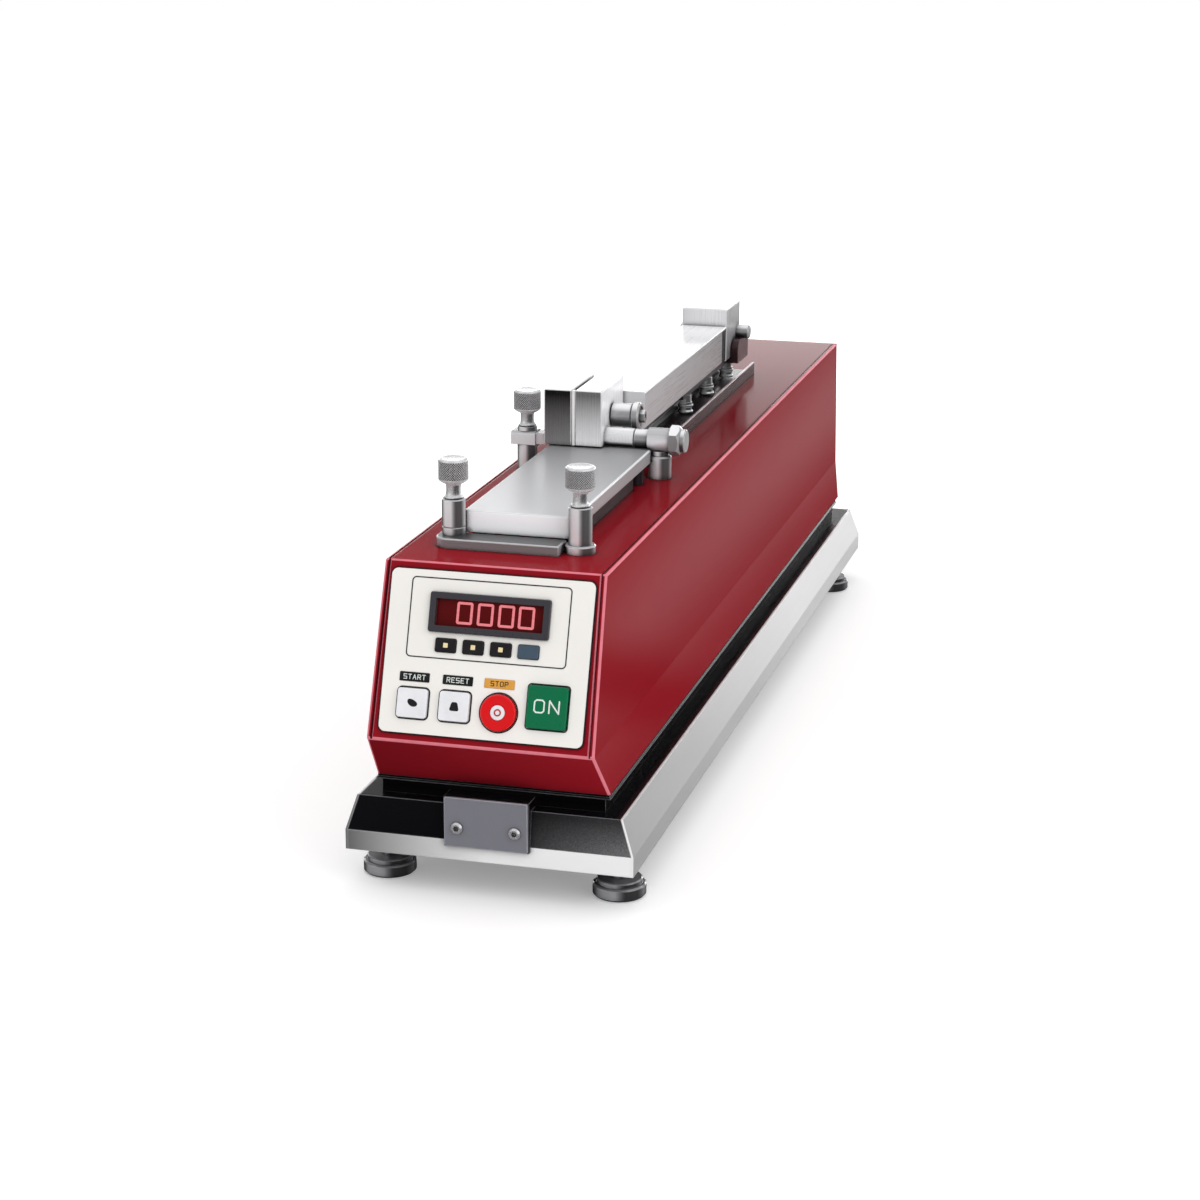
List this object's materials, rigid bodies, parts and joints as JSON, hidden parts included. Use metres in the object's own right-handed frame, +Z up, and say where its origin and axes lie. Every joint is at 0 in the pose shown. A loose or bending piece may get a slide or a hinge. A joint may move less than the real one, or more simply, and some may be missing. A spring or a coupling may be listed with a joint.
{
  "type": "crockmeter",
  "caption": "Motorised crockmeter: a finger on a belt-driven sliding arm rubs cloth over a clamped specimen platform on a sloped-panel console with levelling feet.",
  "frame": {"origin": "on the bench, under the middle of the instrument (centre of the bounding box at its bottom)", "axes": "+X to the operator's right, +Y away from the control panel along the stroke, +Z up"},
  "size_m": [0.1598, 0.7131, 0.2343],
  "materials": {
    "red_paint": "satin powder coat",
    "black_gloss": "gloss black enamel",
    "bright_trim": "fine brushed sheet",
    "grey_plate": "satin anodised",
    "ground_steel": "ground and polished",
    "knurled_chrome": "chromed with fine knurl",
    "turned_steel": "turned and plated",
    "zinc_plate": "zinc plated",
    "dark_anodised": "dark anodised, satin",
    "black_oxide": "black oxide, satin",
    "bearing_steel": "polished",
    "panel_white": "semi gloss enamel",
    "dark_plastic": "gloss",
    "red_filter": "clear red tint",
    "key_plastic": "fine grain",
    "white_plastic": "gloss",
    "red_plastic": "gloss",
    "green_plastic": "gloss",
    "board_green": "solder mask",
    "supply_case": "folded plated sheet",
    "motor_enamel": "matt enamel",
    "bracket_steel": "plated sheet",
    "belt_rubber": "matt",
    "pulley_aluminium": "turned",
    "inlet_plastic": "matt moulding"
  },
  "bodies": {
    "frame": {"base_casting": "black_gloss", "base_trim": "bright_trim", "neck_plate": "black_gloss", "blank_plate": "grey_plate", "fasteners": "zinc_plate", "housing_shell": "red_paint", "rear_panel": "red_paint", "power_inlet": "inlet_plastic", "panel_plate": "panel_white", "counter_bezel": "dark_plastic", "counter_window": "red_filter", "circuit_board": "board_green", "power_supply": "supply_case", "drive_motor": "motor_enamel", "drive_brackets": "bracket_steel", "drive_belt": "belt_rubber", "platform": "ground_steel", "platform_spacers": "black_oxide", "front_bar": "ground_steel", "front_posts": "turned_steel", "rear_left_post": "turned_steel", "rear_right_post": "turned_steel", "sensor_rod": "turned_steel", "rail_channel": "dark_anodised", "guide_rail": "bearing_steel"},
    "carriage": {"carriage_plate": "black_oxide", "wheel_axles": "turned_steel", "pivot_bracket": "dark_anodised", "drive_link": "black_oxide"},
    "arm": {"arm_bar": "ground_steel", "arm_end_pads": "black_oxide", "pivot_block": "ground_steel", "pivot_pin": "turned_steel", "head_jaw_left": "ground_steel", "head_jaw_right": "ground_steel", "finger": "turned_steel"},
    "motor_pulley": {"motor_pulley": "pulley_aluminium"},
    "idler_pulley": {"idler_pulley": "pulley_aluminium"},
    "clamp_knob": {"clamp_knob": "knurled_chrome"},
    "thumb_screw_front_left": {"thumb_screw_front_left": "knurled_chrome"},
    "thumb_screw_front_right": {"thumb_screw_front_right": "knurled_chrome"},
    "thumb_screw_rear_left": {"thumb_screw_rear_left": "knurled_chrome"},
    "foot_front_left": {"foot_front_left": "turned_steel"},
    "foot_front_right": {"foot_front_right": "turned_steel"},
    "foot_rear_left": {"foot_rear_left": "turned_steel"},
    "foot_rear_right": {"foot_rear_right": "turned_steel"},
    "guide_wheel_left_1": {"guide_wheel_left_1": "bearing_steel"},
    "guide_wheel_left_2": {"guide_wheel_left_2": "bearing_steel"},
    "guide_wheel_left_3": {"guide_wheel_left_3": "bearing_steel"},
    "guide_wheel_right_1": {"guide_wheel_right_1": "bearing_steel"},
    "guide_wheel_right_2": {"guide_wheel_right_2": "bearing_steel"},
    "guide_wheel_right_3": {"guide_wheel_right_3": "bearing_steel"},
    "counter_key_1": {"counter_key_1": "key_plastic"},
    "counter_key_2": {"counter_key_2": "key_plastic"},
    "counter_key_3": {"counter_key_3": "key_plastic"},
    "counter_key_4": {"counter_key_4": "key_plastic"},
    "white_button_left": {"white_button_left": "white_plastic"},
    "white_button_right": {"white_button_right": "white_plastic"},
    "stop_button": {"stop_button": "red_plastic"},
    "power_switch": {"power_switch": "green_plastic"}
  },
  "joints": [
    {"name": "carriage_slide", "type": "slide", "parent": "frame", "child": "carriage", "axis": [0, -1, 0], "range_m": [0, 0.104]},
    {"name": "arm_lift", "type": "hinge", "parent": "carriage", "child": "arm", "pos_m": [0, 0.199, 0.2132], "axis": [-1, 0, 0], "range_deg": [0, 60]},
    {"name": "guide_wheel_left_1_roll", "type": "hinge", "parent": "carriage", "child": "guide_wheel_left_1", "pos_m": [-0.0105, 0.064, 0.1858], "axis": [0, 0, 1], "range_deg": [-10, 1400]},
    {"name": "guide_wheel_left_2_roll", "type": "hinge", "parent": "carriage", "child": "guide_wheel_left_2", "pos_m": [-0.0105, 0.126, 0.1858], "axis": [0, 0, 1], "range_deg": [-10, 1400]},
    {"name": "guide_wheel_left_3_roll", "type": "hinge", "parent": "carriage", "child": "guide_wheel_left_3", "pos_m": [-0.0105, 0.188, 0.1858], "axis": [0, 0, 1], "range_deg": [-10, 1400]},
    {"name": "guide_wheel_right_1_roll", "type": "hinge", "parent": "carriage", "child": "guide_wheel_right_1", "pos_m": [0.0105, 0.064, 0.1858], "axis": [0, 0, 1], "range_deg": [-1400, 10]},
    {"name": "guide_wheel_right_2_roll", "type": "hinge", "parent": "carriage", "child": "guide_wheel_right_2", "pos_m": [0.0105, 0.126, 0.1858], "axis": [0, 0, 1], "range_deg": [-1400, 10]},
    {"name": "guide_wheel_right_3_roll", "type": "hinge", "parent": "carriage", "child": "guide_wheel_right_3", "pos_m": [0.0105, 0.188, 0.1858], "axis": [0, 0, 1], "range_deg": [-1400, 10]},
    {"name": "motor_pulley_turn", "type": "hinge", "parent": "frame", "child": "motor_pulley", "pos_m": [-0.018, 0.161, 0.1512], "axis": [1, 0, 0], "range_deg": [-10, 520]},
    {"name": "idler_pulley_turn", "type": "hinge", "parent": "frame", "child": "idler_pulley", "pos_m": [-0.018, -0.029, 0.1512], "axis": [1, 0, 0], "range_deg": [-10, 520]},
    {"name": "clamp_knob_turn", "type": "hinge", "parent": "arm", "child": "clamp_knob", "pos_m": [0.0085, -0.094, 0.2135], "axis": [1, 0, 0], "range_deg": [0, 360]},
    {"name": "thumb_screw_front_left_turn", "type": "hinge", "parent": "frame", "child": "thumb_screw_front_left", "pos_m": [-0.0352, -0.286, 0.2052], "axis": [0, 0, 1], "range_deg": [0, 360]},
    {"name": "thumb_screw_front_right_turn", "type": "hinge", "parent": "frame", "child": "thumb_screw_front_right", "pos_m": [0.0352, -0.286, 0.2052], "axis": [0, 0, 1], "range_deg": [0, 360]},
    {"name": "thumb_screw_rear_left_turn", "type": "hinge", "parent": "frame", "child": "thumb_screw_rear_left", "pos_m": [-0.0465, -0.108, 0.2068], "axis": [0, 0, 1], "range_deg": [0, 360]},
    {"name": "foot_front_left_turn", "type": "hinge", "parent": "frame", "child": "foot_front_left", "pos_m": [-0.065, -0.314, 0.005], "axis": [0, 0, 1], "continuous": true},
    {"name": "foot_front_right_turn", "type": "hinge", "parent": "frame", "child": "foot_front_right", "pos_m": [0.065, -0.314, 0.005], "axis": [0, 0, 1], "continuous": true},
    {"name": "foot_rear_left_turn", "type": "hinge", "parent": "frame", "child": "foot_rear_left", "pos_m": [-0.065, 0.314, 0.005], "axis": [0, 0, 1], "continuous": true},
    {"name": "foot_rear_right_turn", "type": "hinge", "parent": "frame", "child": "foot_rear_right", "pos_m": [0.065, 0.314, 0.005], "axis": [0, 0, 1], "continuous": true},
    {"name": "counter_key_1_press", "type": "slide", "parent": "frame", "child": "counter_key_1", "axis": [0, 0.9455, -0.3257], "range_m": [0, 0.001], "stiffness_N_per_m": 300, "springref_m": -0.001},
    {"name": "counter_key_2_press", "type": "slide", "parent": "frame", "child": "counter_key_2", "axis": [0, 0.9455, -0.3257], "range_m": [0, 0.001], "stiffness_N_per_m": 300, "springref_m": -0.001},
    {"name": "counter_key_3_press", "type": "slide", "parent": "frame", "child": "counter_key_3", "axis": [0, 0.9455, -0.3257], "range_m": [0, 0.001], "stiffness_N_per_m": 300, "springref_m": -0.001},
    {"name": "counter_key_4_press", "type": "slide", "parent": "frame", "child": "counter_key_4", "axis": [0, 0.9455, -0.3257], "range_m": [0, 0.001], "stiffness_N_per_m": 300, "springref_m": -0.001},
    {"name": "white_button_left_press", "type": "slide", "parent": "frame", "child": "white_button_left", "axis": [0, 0.9455, -0.3257], "range_m": [0, 0.002], "stiffness_N_per_m": 300, "springref_m": -0.001},
    {"name": "white_button_right_press", "type": "slide", "parent": "frame", "child": "white_button_right", "axis": [0, 0.9455, -0.3257], "range_m": [0, 0.002], "stiffness_N_per_m": 300, "springref_m": -0.001},
    {"name": "stop_button_press", "type": "slide", "parent": "frame", "child": "stop_button", "axis": [0, 0.9455, -0.3257], "range_m": [0, 0.002], "stiffness_N_per_m": 400, "springref_m": -0.001},
    {"name": "power_switch_press", "type": "slide", "parent": "frame", "child": "power_switch", "axis": [0, 0.9455, -0.3257], "range_m": [0, 0.002], "stiffness_N_per_m": 400, "springref_m": -0.001}
  ],
  "couplings": [
    {"joint": "guide_wheel_left_1_roll", "follows": "carriage_slide", "rad_per_m": 222.22},
    {"joint": "guide_wheel_left_2_roll", "follows": "carriage_slide", "rad_per_m": 222.22},
    {"joint": "guide_wheel_left_3_roll", "follows": "carriage_slide", "rad_per_m": 222.22},
    {"joint": "guide_wheel_right_1_roll", "follows": "carriage_slide", "rad_per_m": -222.22},
    {"joint": "guide_wheel_right_2_roll", "follows": "carriage_slide", "rad_per_m": -222.22},
    {"joint": "guide_wheel_right_3_roll", "follows": "carriage_slide", "rad_per_m": -222.22},
    {"joint": "motor_pulley_turn", "follows": "carriage_slide", "rad_per_m": 83.333},
    {"joint": "idler_pulley_turn", "follows": "carriage_slide", "rad_per_m": 83.333}
  ]
}
